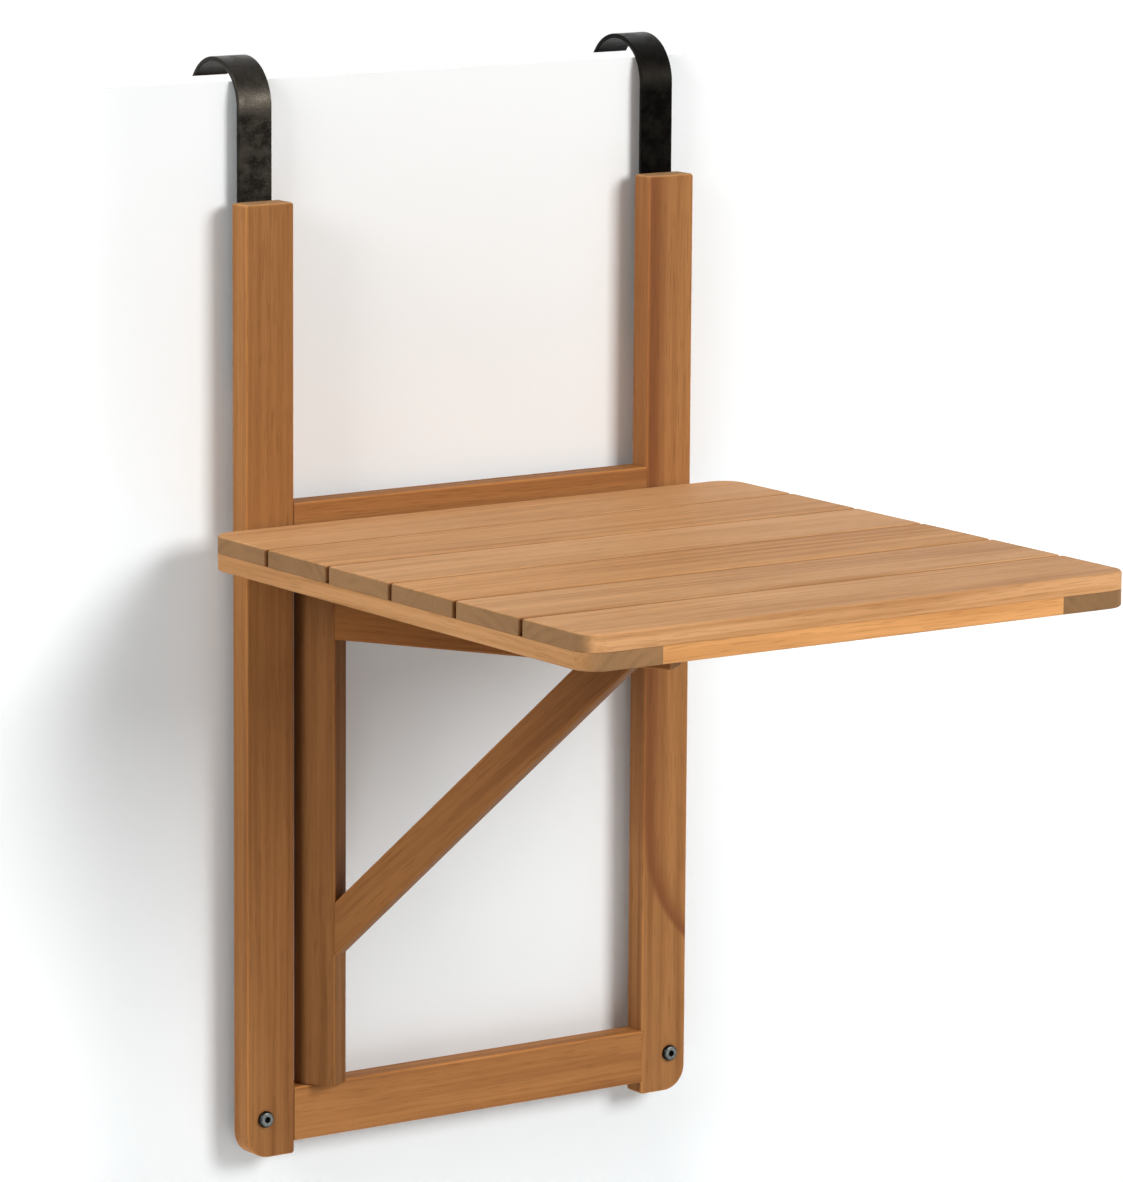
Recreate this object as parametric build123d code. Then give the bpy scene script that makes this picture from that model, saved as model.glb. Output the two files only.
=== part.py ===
from build123d import *
import math
import os

# Folding balcony table that hangs on a railing by two strap hooks.
# Millimetres, +Z up, front towards -Y, X to the right.
# Origin: the middle of the axis that the two hook arches share.

# Driving sizes of the strap hooks
railing_gap = 54.0
strap_width = 24.0
strap_thickness = 3.0
strap_rise = 58.0
strap_overlap = 110.0
strap_corner = 4.0
strap_ease = 0.5
hook_lip = 40.0
hook_screw_count = 3
hook_screw_drop = 20.0
hook_screw_pitch = 35.0

# Driving sizes of the hanging frame
frame_width = 340.0
stile_width = 35.0
stile_depth = 17.0
stile_length = 608.0
foot_radius = 16.0
stile_corner = 2.0
upper_rail_drop = 189.0
rail_upstand = 13.0
lower_rail_height = 35.0
foot_length = 8.0
tenon_thickness = 7.0
tenon_shoulder = 5.0
tenon_clearance = 1.2
mortise_end_play = 0.3
wood_ease = 1.5

# Driving sizes of the tabletop
top_width = 400.0
slat_count = 6
slat_width = 66.5
slat_gap = 2.5
slat_thickness = 11.0
slat_ease = 1.6
slat_lower_ease = 0.5
slat_corner = 1.5
centre_batten_width = 53.0
batten_thickness = 11.0
top_corner_radius = 16.0
front_rail_width = 35.0
front_screw_pitch = 103.0
slat_screw_half_pitch = 18.0
rear_gap = 3.0

# Driving sizes of the gate bracket under the top
swing_angle = 59.0
pivot_inset = 15.0
post_width = 32.0
arm_height = 51.0
arm_end_play = 2.0
brace_width = 25.0
brace_drop = 186.0
dowel_radius = 4.0
dowel_half_length = 15.0
dowel_end_play = 0.3
arm_dowel_half_pitch = 13.0

# Driving sizes of the pivots
pin_radius = 3.0
pin_fit = 0.05
pin_in_post = 20.0
pin_in_rail = 18.0
pin_end_play = 0.3
washer_radius = 6.5
upper_washer = 0.5
lower_washer = 1.0

# Driving sizes of the butt hinges between the stiles and the tabletop
leaf_thickness = 1.5
leaf_rise = 18.0
leaf_reach = 26.0
leaf_margin = 1.5
hinge_width = 20.0
knuckle_radius = 2.3
knuckle_play = 0.3
knuckle_side_play = 0.1
hinge_pin_radius = 1.2
hinge_screw_half_pitch = 5.0

# Driving sizes of the foot bolts and of the bumpers that they hold
bolt_radius = 3.0
bolt_fit = 0.05
bolt_edge = 13.0
bolt_in_bumper = 1.8
bolt_head_radius = 5.3
bolt_head_height = 3.0
bolt_rim = 1.2
bolt_crown_radius = 3.5
socket_flats = 4.0
socket_depth = 2.2
bumper_radius = 8.0
bumper_ease = 0.8

# Fit of every wood screw in its hole
screw_fit = 0.05

# Positions worked out from the driving sizes
arch_inner = railing_gap / 2
arch_outer = arch_inner + strap_thickness
stile_back = -arch_outer
stile_front = stile_back - stile_depth
stile_mid = (stile_back + stile_front) / 2
stile_outer = frame_width / 2
stile_inner = stile_outer - stile_width
stile_centre = (stile_outer + stile_inner) / 2
stile_top = -strap_rise
stile_bottom = stile_top - stile_length
upper_rail_top = stile_top - upper_rail_drop
table_top = upper_rail_top - rail_upstand
slat_bottom = table_top - slat_thickness
underside = slat_bottom - batten_thickness
upper_rail_bottom = underside
lower_rail_bottom = stile_bottom + foot_length
lower_rail_top = lower_rail_bottom + lower_rail_height
lower_rail_mid = (lower_rail_bottom + lower_rail_top) / 2
slat_pitch = slat_width + slat_gap
top_depth = slat_count * slat_width + (slat_count - 1) * slat_gap
top_rear = stile_front - rear_gap
top_front = top_rear - top_depth
top_side = top_width / 2
front_rail_rear = top_front + front_rail_width
post_half = stile_depth / 2
post_face = post_width - post_half
post_top = upper_rail_bottom - upper_washer
post_bottom = lower_rail_top + lower_washer
arm_bottom = post_top - arm_height
pivot_x = pivot_inset - stile_inner
arm_reach = stile_inner - pivot_x - arm_end_play
brace_foot_z = arm_bottom - brace_drop
brace_head_u = post_face + brace_drop
brace_half_mitre = brace_width / math.sqrt(2)
hinge_outer = stile_outer - leaf_margin
hinge_inner = hinge_outer - hinge_width
hinge_centre = (hinge_inner + hinge_outer) / 2
batten_inner = hinge_inner - leaf_margin
batten_screw_x = (hinge_outer + top_side) / 2
hinge_y = stile_front + leaf_thickness - knuckle_radius
hinge_z = underside + leaf_thickness - knuckle_radius
knuckle_length = hinge_width / 3
middle_start = hinge_inner + knuckle_length
middle_end = hinge_outer - knuckle_length
bolt_x = stile_outer - bolt_edge
bolt_tip = stile_back + bolt_in_bumper

RIGHT = (1, 0, 0)
FORWARD = (0, -1, 0)
BACKWARD = (0, 1, 0)
UP = (0, 0, 1)
DOWN = (0, 0, -1)
TOLERANCE = 1e-3


def same(a, b):
    """True for two coordinates at one place."""
    return abs(a - b) < TOLERANCE


def block(x0, x1, y0, y1, z0, z1):
    """A box between two corners."""
    centre = Pos((x0 + x1) / 2, (y0 + y1) / 2, (z0 + z1) / 2)
    return centre * Box(abs(x1 - x0), abs(y1 - y0), abs(z1 - z0))


def rod(start, direction, radius, length):
    """A round rod that starts at a point and runs along a direction."""
    return Location(Plane(start, z_dir=direction)) * extrude(Circle(radius), length)


def ease_long(shape, axis, radius):
    """Round the long edges of a stick that runs along an axis."""
    return fillet(shape.edges().filter_by(axis), radius)


def ease_faces(shape, axis, low_radius, high_radius):
    """Round the outlines of the two end faces along an axis."""
    high = shape.faces().sort_by(axis)[-1].edges()
    shape = fillet(high, high_radius)
    low = shape.faces().sort_by(axis)[0].edges()
    return fillet(low, low_radius)


def mirrored(shape):
    """The same piece on the other side of the table."""
    return mirror(shape, about=Plane.YZ)


class Screw:
    """Countersunk wood screw: its head face is at the start point, its tip along the direction."""

    def __init__(self, length, shank_radius, head_radius, slot_length, slot_width, slot_depth):
        self.length = length
        self.shank = shank_radius
        self.head = head_radius
        self.cone = head_radius - shank_radius
        self.tip = 2 * shank_radius
        self.half_slot = slot_length / 2
        self.half_width = slot_width / 2
        self.slot_depth = slot_depth

    def place(self, start, direction, shape):
        return Location(Plane(start, z_dir=direction)) * shape

    def body(self, start, direction):
        """The screw itself, with a cross recess in its head."""
        outline = Polyline(
            (0, 0, 0),
            (self.head, 0, 0),
            (self.shank, 0, self.cone),
            (self.shank, 0, self.length - self.tip),
            (0, 0, self.length),
            close=True,
        )
        solid = revolve(make_face(outline), Axis.Z)
        long, wide, deep = self.half_slot, self.half_width, self.slot_depth
        solid -= block(-long, long, -wide, wide, 0, deep)
        solid -= block(-wide, wide, -long, long, 0, deep)
        return self.place(start, direction, solid)

    def hole(self, start, direction):
        """The countersunk hole that the screw sits in, open past its head."""
        outline = Polyline(
            (0, 0, -self.cone),
            (self.head + screw_fit, 0, -self.cone),
            (self.head + screw_fit, 0, 0),
            (self.shank + screw_fit, 0, self.cone),
            (self.shank + screw_fit, 0, self.length + screw_fit),
            (0, 0, self.length + screw_fit),
            close=True,
        )
        return self.place(start, direction, revolve(make_face(outline), Axis.Z))


hook_screw = Screw(
    length=16.0, shank_radius=2.0, head_radius=4.0, slot_length=4.8, slot_width=1.0, slot_depth=1.2
)
slat_screw = Screw(
    length=17.0, shank_radius=1.75, head_radius=3.5, slot_length=4.2, slot_width=0.9, slot_depth=1.0
)
leaf_screw = Screw(
    length=14.0, shank_radius=1.3, head_radius=2.5, slot_length=3.0, slot_width=0.6, slot_depth=0.7
)

# The rails' tenons stop short of the hinge screws
inner_leaf_screw_x = hinge_centre - hinge_screw_half_pitch
tenon_tip = inner_leaf_screw_x - leaf_screw.shank - tenon_clearance

# Places of the screws on the right-hand side
hook_screw_places = []
for index in range(hook_screw_count):
    drop = hook_screw_drop + index * hook_screw_pitch
    hook_screw_places.append((stile_centre, -arch_inner, stile_top - drop))
slat_centres = [top_rear - slat_width / 2 - i * slat_pitch for i in range(slat_count)]
side_screw_places = []
for slat_y in slat_centres:
    side_screw_places.append((batten_screw_x, slat_y + slat_screw_half_pitch, underside))
    side_screw_places.append((batten_screw_x, slat_y - slat_screw_half_pitch, underside))
centre_screw_places = [(0, slat_y, underside) for slat_y in slat_centres[:-1]]
front_rail_mid = (top_front + front_rail_rear) / 2
front_screw_places = [(i * front_screw_pitch, front_rail_mid, underside) for i in (-1, 0, 1)]
leaf_mid_z = (underside + leaf_thickness + underside + leaf_rise) / 2
leaf_mid_y = top_rear - leaf_reach / 2
stile_leaf_places = []
table_leaf_places = []
for side in (-1, 1):
    screw_x = hinge_centre + side * hinge_screw_half_pitch
    stile_leaf_places.append((screw_x, stile_front, leaf_mid_z))
    table_leaf_places.append((screw_x, leaf_mid_y, underside))


# Strap hook: flat bar bent over the railing, seen from the side and drawn out in X
def make_hook():
    ring = Circle(arch_outer) - Circle(arch_inner)
    arch = ring & (Pos(0, arch_outer) * Rectangle(2 * arch_outer, 2 * arch_outer))
    front_length = strap_rise + strap_overlap
    leg_centre = (arch_inner + arch_outer) / 2
    front_leg = Pos(-leg_centre, -front_length / 2) * Rectangle(strap_thickness, front_length)
    rear_leg = Pos(leg_centre, -hook_lip / 2) * Rectangle(strap_thickness, hook_lip)
    profile = arch + front_leg + rear_leg
    bar = extrude(Plane.YZ * profile, strap_width / 2, both=True)
    ends = bar.edges().filter_by(Axis.Y)
    bar = fillet(ends, strap_corner)
    rims = ShapeList(bar.faces().sort_by(Axis.X)[0].edges() + bar.faces().sort_by(Axis.X)[-1].edges())
    bar = fillet(rims, strap_ease)
    hook = Pos(stile_centre, 0, 0) * bar
    for place in hook_screw_places:
        hook -= hook_screw.hole(place, FORWARD)
    return hook


# Stile: upright with a big round at its outer foot, mortised for both rails
def tenon(x0, x1, z0, z1):
    half = tenon_thickness / 2
    return block(x0, x1, stile_mid - half, stile_mid + half, z0 + tenon_shoulder, z1 - tenon_shoulder)


def make_stile():
    stile = block(stile_inner, stile_outer, stile_front, stile_back, stile_bottom, stile_top)
    cross = stile.edges().filter_by(Axis.Y).sort_by(Axis.Z)
    outer_foot = cross[:2].sort_by(Axis.X)[-1]
    stile = fillet(outer_foot, foot_radius)
    cross = stile.edges().filter_by(Axis.Y)
    corners = [e for e in cross if same(e.center().X, stile_inner) or same(e.center().Z, stile_top)]
    stile = fillet(corners, stile_corner)
    stile = ease_faces(stile, Axis.Y, wood_ease, wood_ease)
    deep = tenon_tip + mortise_end_play
    stile -= tenon(stile_inner, deep, upper_rail_bottom, upper_rail_top)
    stile -= tenon(stile_inner, deep, lower_rail_bottom, lower_rail_top)
    bed_floor = stile_front + leaf_thickness
    bed_foot = hinge_z - knuckle_radius - knuckle_play
    stile -= block(hinge_inner, hinge_outer, stile_front, bed_floor, bed_foot, underside + leaf_rise)
    stile -= knuckle(hinge_inner, hinge_outer, knuckle_radius + knuckle_play)
    stile -= rod((bolt_x, stile_front, lower_rail_mid), BACKWARD, bolt_radius + bolt_fit, stile_depth)
    for place in hook_screw_places:
        stile -= hook_screw.hole(place, FORWARD)
    for place in stile_leaf_places:
        stile -= leaf_screw.hole(place, BACKWARD)
    return stile


# Rails: full frame depth, tenons at both ends, one blind bore each for the bracket's pin
def make_rail(z0, z1, bore_start, bore_direction):
    rail = block(-stile_inner, stile_inner, stile_front, stile_back, z0, z1)
    rail = ease_long(rail, Axis.X, wood_ease)
    rail += tenon(-tenon_tip, tenon_tip, z0, z1)
    depth = pin_in_rail + pin_end_play
    rail -= rod((pivot_x, stile_mid, bore_start), bore_direction, pin_radius + pin_fit, depth)
    return rail


def make_washer(bottom, thickness):
    ring = Circle(washer_radius) - Circle(pin_radius + pin_fit)
    return Pos(pivot_x, stile_mid, bottom) * extrude(ring, thickness)


# Foot bolt: domed head with a hexagon socket; its shank ends inside the rubber bumper
def make_foot_bolt():
    rim = Line((bolt_head_radius, 0, 0), (bolt_head_radius, 0, bolt_rim))
    dome = TangentArc(rim @ 1, (bolt_crown_radius, 0, bolt_head_height), tangent=rim % 1)
    crown = Line(dome @ 1, (0, 0, bolt_head_height))
    closing = Polyline(crown @ 1, (0, 0, 0), rim @ 0)
    head = revolve(make_face([rim, dome, crown, closing]), Axis.Z)
    socket = RegularPolygon(socket_flats / math.sqrt(3), 6)
    head -= Pos(0, 0, bolt_head_height - socket_depth) * extrude(socket, socket_depth)
    head = Location(Plane((bolt_x, stile_front, lower_rail_mid), z_dir=FORWARD)) * head
    shank = rod((bolt_x, stile_front, lower_rail_mid), BACKWARD, bolt_radius, bolt_tip - stile_front)
    return head + shank


def make_bumper():
    disc = rod((bolt_x, stile_back, lower_rail_mid), BACKWARD, bumper_radius, strap_thickness)
    rear_rim = disc.faces().sort_by(Axis.Y)[-1].edges()
    disc = fillet(rear_rim, bumper_ease)
    return disc - rod((bolt_x, stile_back, lower_rail_mid), BACKWARD, bolt_radius + bolt_fit, bolt_in_bumper)


# Butt hinge: two stile knuckles around one tabletop knuckle on a common pin
def knuckle(x0, x1, radius):
    return rod((x0, hinge_y, hinge_z), RIGHT, radius, x1 - x0)


def make_stile_leaf():
    leaf = block(hinge_inner, hinge_outer, stile_front, stile_front + leaf_thickness, hinge_z, underside + leaf_rise)
    inner_end = middle_start - knuckle_side_play
    outer_start = middle_end + knuckle_side_play
    leaf -= knuckle(inner_end, outer_start, knuckle_radius + knuckle_play)
    leaf += knuckle(hinge_inner, inner_end, knuckle_radius)
    leaf += knuckle(outer_start, hinge_outer, knuckle_radius)
    leaf -= knuckle(hinge_inner, hinge_outer, hinge_pin_radius)
    for place in stile_leaf_places:
        leaf -= leaf_screw.hole(place, BACKWARD)
    return leaf


def make_table_leaf():
    leaf = block(hinge_inner, hinge_outer, hinge_y, top_rear - leaf_reach, underside, underside + leaf_thickness)
    leaf -= knuckle(hinge_inner, middle_start, knuckle_radius + knuckle_play)
    leaf -= knuckle(middle_end, hinge_outer, knuckle_radius + knuckle_play)
    leaf += knuckle(middle_start, middle_end, knuckle_radius)
    leaf -= knuckle(hinge_inner, hinge_outer, hinge_pin_radius + pin_fit)
    for place in table_leaf_places:
        leaf -= leaf_screw.hole(place, UP)
    return leaf


# Slats: the first and last carry the rounded corners of the tabletop
def round_corners(plate, outer_edges, outer_radius, inner_radius):
    upright = plate.edges().filter_by(Axis.Z)
    outer = [e for e in upright if outer_edges(e.center())]
    inner = [e for e in upright if not outer_edges(e.center())]
    if outer:
        plate = fillet(outer, outer_radius)
    if inner_radius:
        keep = [c.center() for c in inner]
        upright = plate.edges().filter_by(Axis.Z)
        again = [e for e in upright if any((e.center() - c).length < TOLERANCE for c in keep)]
        plate = fillet(again, inner_radius)
    return plate


def on_top_outline(point):
    """True for an upright edge on the front or rear edge of the whole top."""
    return same(point.Y, top_rear) or same(point.Y, top_front)


def make_slat(index):
    rear = top_rear - index * slat_pitch
    slat = block(-top_side, top_side, rear - slat_width, rear, slat_bottom, table_top)
    slat = round_corners(slat, on_top_outline, top_corner_radius, slat_corner)
    slat = ease_faces(slat, Axis.Z, slat_lower_ease, slat_ease)
    for x, y, z in side_screw_places + centre_screw_places + front_screw_places:
        if rear - slat_width < y < rear:
            slat -= slat_screw.hole((x, y, z), UP)
            if x == batten_screw_x:
                slat -= slat_screw.hole((-x, y, z), UP)
    for x, y, z in table_leaf_places:
        if rear - slat_width < y < rear:
            slat -= leaf_screw.hole((x, y, z), UP)
            slat -= leaf_screw.hole((-x, y, z), UP)
    return slat


# Side batten: full depth of the top, its end grain closes the front corner
def make_batten():
    batten = block(batten_inner, top_side, top_front, top_rear, underside, slat_bottom)
    batten = round_corners(batten, lambda point: same(point.X, top_side), top_corner_radius, 0)
    lower = batten.faces().sort_by(Axis.Z)[0].edges()
    batten = fillet(lower, slat_ease)
    for place in side_screw_places:
        batten -= slat_screw.hole(place, UP)
    batten -= block(hinge_inner, hinge_outer, top_rear - leaf_reach, top_rear, underside, underside + leaf_thickness)
    batten -= knuckle(hinge_inner, hinge_outer, knuckle_radius + knuckle_play)
    for place in table_leaf_places:
        batten -= leaf_screw.hole(place, UP)
    return batten


def make_centre_batten():
    half = centre_batten_width / 2
    batten = block(-half, half, front_rail_rear, top_rear, underside, slat_bottom)
    batten = ease_long(batten, Axis.Y, slat_ease)
    for place in centre_screw_places:
        batten -= slat_screw.hole(place, UP)
    return batten


def make_front_rail():
    rail = block(-batten_inner, batten_inner, top_front, front_rail_rear, underside, slat_bottom)
    lower = rail.faces().sort_by(Axis.Z)[0].edges().filter_by(Axis.X)
    rail = fillet(lower, slat_ease)
    for place in front_screw_places:
        rail -= slat_screw.hole(place, UP)
    return rail


# Gate bracket, drawn folded along +X from its pivot axis and then swung out
swung_out = Pos(pivot_x, stile_mid, 0) * Rot(0, 0, -swing_angle)
arm_mid = (arm_bottom + post_top) / 2
arm_dowel_heights = [arm_mid - arm_dowel_half_pitch, arm_mid + arm_dowel_half_pitch]
brace_way = (math.sqrt(0.5), 0, math.sqrt(0.5))
brace_foot = (post_face, 0, brace_foot_z)
brace_head = (brace_head_u, 0, arm_bottom)


def dowel(centre, direction, half_length, radius):
    start = tuple(c - half_length * d for c, d in zip(centre, direction))
    return rod(start, direction, radius, 2 * half_length)


def arm_dowels(half_length):
    return [dowel((post_face, 0, z), RIGHT, half_length, dowel_radius) for z in arm_dowel_heights]


def brace_dowels(half_length):
    return [dowel(end, brace_way, half_length, dowel_radius) for end in (brace_foot, brace_head)]


dowel_bores = arm_dowels(dowel_half_length + dowel_end_play) + brace_dowels(dowel_half_length + dowel_end_play)


def make_post():
    plan = Circle(post_half) + Pos(post_face / 2, 0) * Rectangle(post_face, stile_depth)
    post = Pos(0, 0, post_bottom) * extrude(plan, post_top - post_bottom)
    corners = [e for e in post.edges().filter_by(Axis.Z) if same(e.center().X, post_face)]
    post = fillet(corners, wood_ease)
    post -= rod((0, 0, post_top), DOWN, pin_radius, pin_in_post)
    post -= rod((0, 0, post_bottom), UP, pin_radius, pin_in_post)
    for bore in dowel_bores:
        post -= bore
    return swung_out * post


def make_arm():
    arm = block(post_face, arm_reach, -post_half, post_half, arm_bottom, post_top)
    free = arm.edges() - arm.faces().sort_by(Axis.X)[0].edges()
    arm = fillet(free, wood_ease)
    for bore in dowel_bores:
        arm -= bore
    return swung_out * arm


def make_brace():
    side = Polyline(
        (post_face, 0, brace_foot_z - brace_half_mitre),
        (brace_head_u + brace_half_mitre, 0, arm_bottom),
        (brace_head_u - brace_half_mitre, 0, arm_bottom),
        (post_face, 0, brace_foot_z + brace_half_mitre),
        close=True,
    )
    brace = extrude(make_face(side), post_half, dir=(0, 1, 0), both=True)
    run = brace_head_u - post_face
    long_edges = [e for e in brace.edges() if e.length > run]
    brace = fillet(long_edges, wood_ease)
    for bore in dowel_bores:
        brace -= bore
    return swung_out * brace


# Every node of the assembly
right_stile = make_stile()
right_hook = make_hook()
right_bolt = make_foot_bolt()
right_bumper = make_bumper()
right_stile_leaf = make_stile_leaf()
right_table_leaf = make_table_leaf()
right_hinge_pin = knuckle(hinge_inner, hinge_outer, hinge_pin_radius)
right_batten = make_batten()
right_hook_screws = Compound([hook_screw.body(p, FORWARD) for p in hook_screw_places])
right_batten_screws = Compound([slat_screw.body(p, UP) for p in side_screw_places])
right_stile_leaf_screws = Compound([leaf_screw.body(p, BACKWARD) for p in stile_leaf_places])
right_table_leaf_screws = Compound([leaf_screw.body(p, UP) for p in table_leaf_places])

handed = {
    "stile": right_stile,
    "hook": right_hook,
    "hook_screws": right_hook_screws,
    "foot_bolt": right_bolt,
    "bumper": right_bumper,
    "stile_leaf": right_stile_leaf,
    "stile_leaf_screws": right_stile_leaf_screws,
    "hinge_pin": right_hinge_pin,
    "table_leaf": right_table_leaf,
    "table_leaf_screws": right_table_leaf_screws,
    "batten": right_batten,
    "batten_screws": right_batten_screws,
}

nodes = {
    "upper_rail": make_rail(upper_rail_bottom, upper_rail_top, upper_rail_bottom, UP),
    "lower_rail": make_rail(lower_rail_bottom, lower_rail_top, lower_rail_top, DOWN),
    "upper_washer": make_washer(post_top, upper_washer),
    "lower_washer": make_washer(lower_rail_top, lower_washer),
    "centre_batten": make_centre_batten(),
    "centre_batten_screws": Compound([slat_screw.body(p, UP) for p in centre_screw_places]),
    "front_rail": make_front_rail(),
    "front_rail_screws": Compound([slat_screw.body(p, UP) for p in front_screw_places]),
    "bracket_post": make_post(),
    "bracket_arm": make_arm(),
    "bracket_brace": make_brace(),
    "arm_dowels": swung_out * Compound(arm_dowels(dowel_half_length)),
    "brace_dowels": swung_out * Compound(brace_dowels(dowel_half_length)),
    "upper_pivot_pin": rod((pivot_x, stile_mid, post_top - pin_in_post), UP, pin_radius,
                           pin_in_post + upper_washer + pin_in_rail),
    "lower_pivot_pin": rod((pivot_x, stile_mid, post_bottom + pin_in_post), DOWN, pin_radius,
                           pin_in_post + lower_washer + pin_in_rail),
}
for name, shape in handed.items():
    nodes["right_" + name] = shape
    nodes["left_" + name] = mirrored(shape)
for index in range(slat_count):
    nodes[f"slat_{index + 1}"] = make_slat(index)

os.makedirs("parts", exist_ok=True)
for node, shape in nodes.items():
    export_step(shape, f"parts/{node}.step")
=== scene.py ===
import math

import bpy
from bpy.props import FloatProperty, FloatVectorProperty, PointerProperty
from mathutils import Matrix, Vector


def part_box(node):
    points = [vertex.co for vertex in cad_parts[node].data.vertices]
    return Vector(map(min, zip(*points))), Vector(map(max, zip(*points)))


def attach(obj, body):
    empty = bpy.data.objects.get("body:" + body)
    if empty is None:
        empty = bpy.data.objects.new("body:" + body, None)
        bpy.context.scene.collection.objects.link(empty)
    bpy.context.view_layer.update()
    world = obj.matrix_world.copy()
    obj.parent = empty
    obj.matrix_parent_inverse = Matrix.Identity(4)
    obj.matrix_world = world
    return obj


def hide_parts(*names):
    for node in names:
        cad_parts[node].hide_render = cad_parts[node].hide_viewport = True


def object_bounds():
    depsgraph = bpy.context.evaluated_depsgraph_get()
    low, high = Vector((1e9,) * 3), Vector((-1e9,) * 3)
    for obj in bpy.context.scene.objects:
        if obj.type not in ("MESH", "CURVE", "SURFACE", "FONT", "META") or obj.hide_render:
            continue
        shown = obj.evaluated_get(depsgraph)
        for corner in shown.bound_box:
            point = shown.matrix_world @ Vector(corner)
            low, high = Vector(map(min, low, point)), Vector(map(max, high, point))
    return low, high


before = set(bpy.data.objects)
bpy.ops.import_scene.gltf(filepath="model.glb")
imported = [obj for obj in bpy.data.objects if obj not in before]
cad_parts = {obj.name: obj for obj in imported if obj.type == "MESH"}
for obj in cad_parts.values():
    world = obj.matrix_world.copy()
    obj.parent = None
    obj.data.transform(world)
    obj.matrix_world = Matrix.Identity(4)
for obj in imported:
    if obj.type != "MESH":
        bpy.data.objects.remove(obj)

bl_info = {
    "name": "Folding balcony table",
    "version": (1, 0, 0),
    "blender": (4, 5, 0),
    "location": "View3D > Sidebar > Balcony table",
    "description": "Dresses a hanging folding table: oiled acacia, black strap hooks and plated fixings",
    "category": "Object",
}

CAD_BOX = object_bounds()

# The photograph's frame in pixels
PHOTO_WIDTH = 1123
PHOTO_HEIGHT = 1182

SIDES = ("left", "right")
SLATS = [f"slat_{number}" for number in range(1, 7)]


# Settings that a user would change

def colour_setting(name, description, default):
    """A linear colour swatch."""
    return FloatVectorProperty(
        name=name, description=description, subtype="COLOR", size=3, min=0.0, max=1.0, default=default
    )


def length_setting(name, description, default):
    """A length in metres."""
    return FloatProperty(
        name=name, description=description, subtype="DISTANCE", unit="LENGTH", default=default
    )


def angle_setting(name, description, degrees):
    """An angle, written in degrees."""
    return FloatProperty(
        name=name, description=description, subtype="ANGLE", default=math.radians(degrees)
    )


def share_setting(name, description, default):
    """A share from 0 to 1."""
    return FloatProperty(name=name, description=description, min=0.0, max=1.0, default=default)


def power_setting(name, description, watts):
    """A lamp's power."""
    return FloatProperty(name=name, description=description, default=watts)


class WoodSettings(bpy.types.PropertyGroup):
    """Oiled acacia"""

    top_light: colour_setting("Top, pale", "Palest long grain of the tabletop", (0.765, 0.416, 0.189))
    top_dark: colour_setting("Top, dark", "Darkest long grain of the tabletop", (0.462, 0.211, 0.074))
    frame_light: colour_setting("Frame, pale", "Palest long grain of the frame", (0.392, 0.171, 0.052))
    frame_dark: colour_setting("Frame, dark", "Darkest long grain of the frame", (0.224, 0.085, 0.024))
    end: colour_setting("End grain", "Colour of sawn ends", (0.325, 0.176, 0.077))
    ring_spacing: length_setting("Ring spacing", "Distance between growth rings", 0.0075)
    figure: length_setting("Figure", "How far the rings wander along a board", 0.010)
    pores: share_setting("Pores", "Strength of the open pores", 0.30)
    # How pale the eased edges are: partly wear, partly a painted highlight
    top_edges: share_setting("Top edges", "How pale the tabletop's edges are", 0.05)
    frame_edges: share_setting("Frame edges", "How pale the frame's edges are", 0.9)


class SteelSettings(bpy.types.PropertyGroup):
    """Black strap hooks and plated fixings"""

    strap: colour_setting("Strap", "Black coat of the hooks", (0.012, 0.0105, 0.009))
    bloom: colour_setting("Bloom", "Worn, paler clouds in the coat", (0.046, 0.040, 0.031))
    plate: colour_setting("Plating", "Zinc on screws and hinges", (0.52, 0.50, 0.46))
    bolt: colour_setting("Bolt", "Plain steel of the foot bolts", (0.21, 0.22, 0.21))


class StageSettings(bpy.types.PropertyGroup):
    """Camera, lamps and backdrop"""

    azimuth: angle_setting("Azimuth", "Camera angle round the table", -34.653)
    elevation: angle_setting("Elevation", "Camera angle above level", 10.142)
    roll: angle_setting("Roll", "Camera roll", 0.387)
    focal_pixels: FloatProperty(
        name="Focal length", description="In pixels of the photograph", default=6485.5
    )
    camera_place: FloatVectorProperty(
        name="Camera", description="Where the camera stands", subtype="XYZ", size=3,
        default=(-2.27057, -3.43085, 0.41356),
    )
    floor_drop: length_setting("Floor", "Depth of the floor below the railing", 1.05)
    backdrop_half: length_setting("Backdrop", "Half width of the floor and the panel", 6.0)
    panel_top: length_setting("Panel top", "Height of the panel's top above the hook axis", 0.0162)
    panel_half_thickness: length_setting("Panel", "Half thickness of the panel", 0.0205)
    overhead_power: power_setting("Overhead", "Softbox above, in watts", 3.0)
    key_power: power_setting("Key", "Softbox in front, in watts", 60.0)
    fill_power: power_setting("Fill", "Softbox on the left, in watts", 44.0)
    ambient: share_setting("Ambient", "Even light from all round", 0.16)


# Short ways to build node trees

def add(tree, kind, settings=None, **inputs):
    """Add a node; underscores in input names stand for spaces, and a socket as a value is linked."""
    node = tree.nodes.new(kind)
    for name, value in (settings or {}).items():
        setattr(node, name, value)
    for name, value in inputs.items():
        join(tree, node.inputs[name.replace("_", " ")], value)
    return node


def join(tree, socket, value):
    """Link a socket to another, or set its value."""
    if isinstance(value, bpy.types.NodeSocket):
        tree.links.new(value, socket)
    else:
        socket.default_value = value


def calc(tree, operation, *values):
    """A math node on numbers or sockets."""
    node = tree.nodes.new("ShaderNodeMath")
    node.operation = operation
    for socket, value in zip(node.inputs, values):
        join(tree, socket, value)
    return node.outputs[0]


def vector_calc(tree, operation, *values):
    """A vector math node on vectors or sockets."""
    node = tree.nodes.new("ShaderNodeVectorMath")
    node.operation = operation
    for socket, value in zip(node.inputs, values):
        join(tree, socket, value)
    return node.outputs["Value" if operation in {"LENGTH", "DOT_PRODUCT"} else "Vector"]


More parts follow.
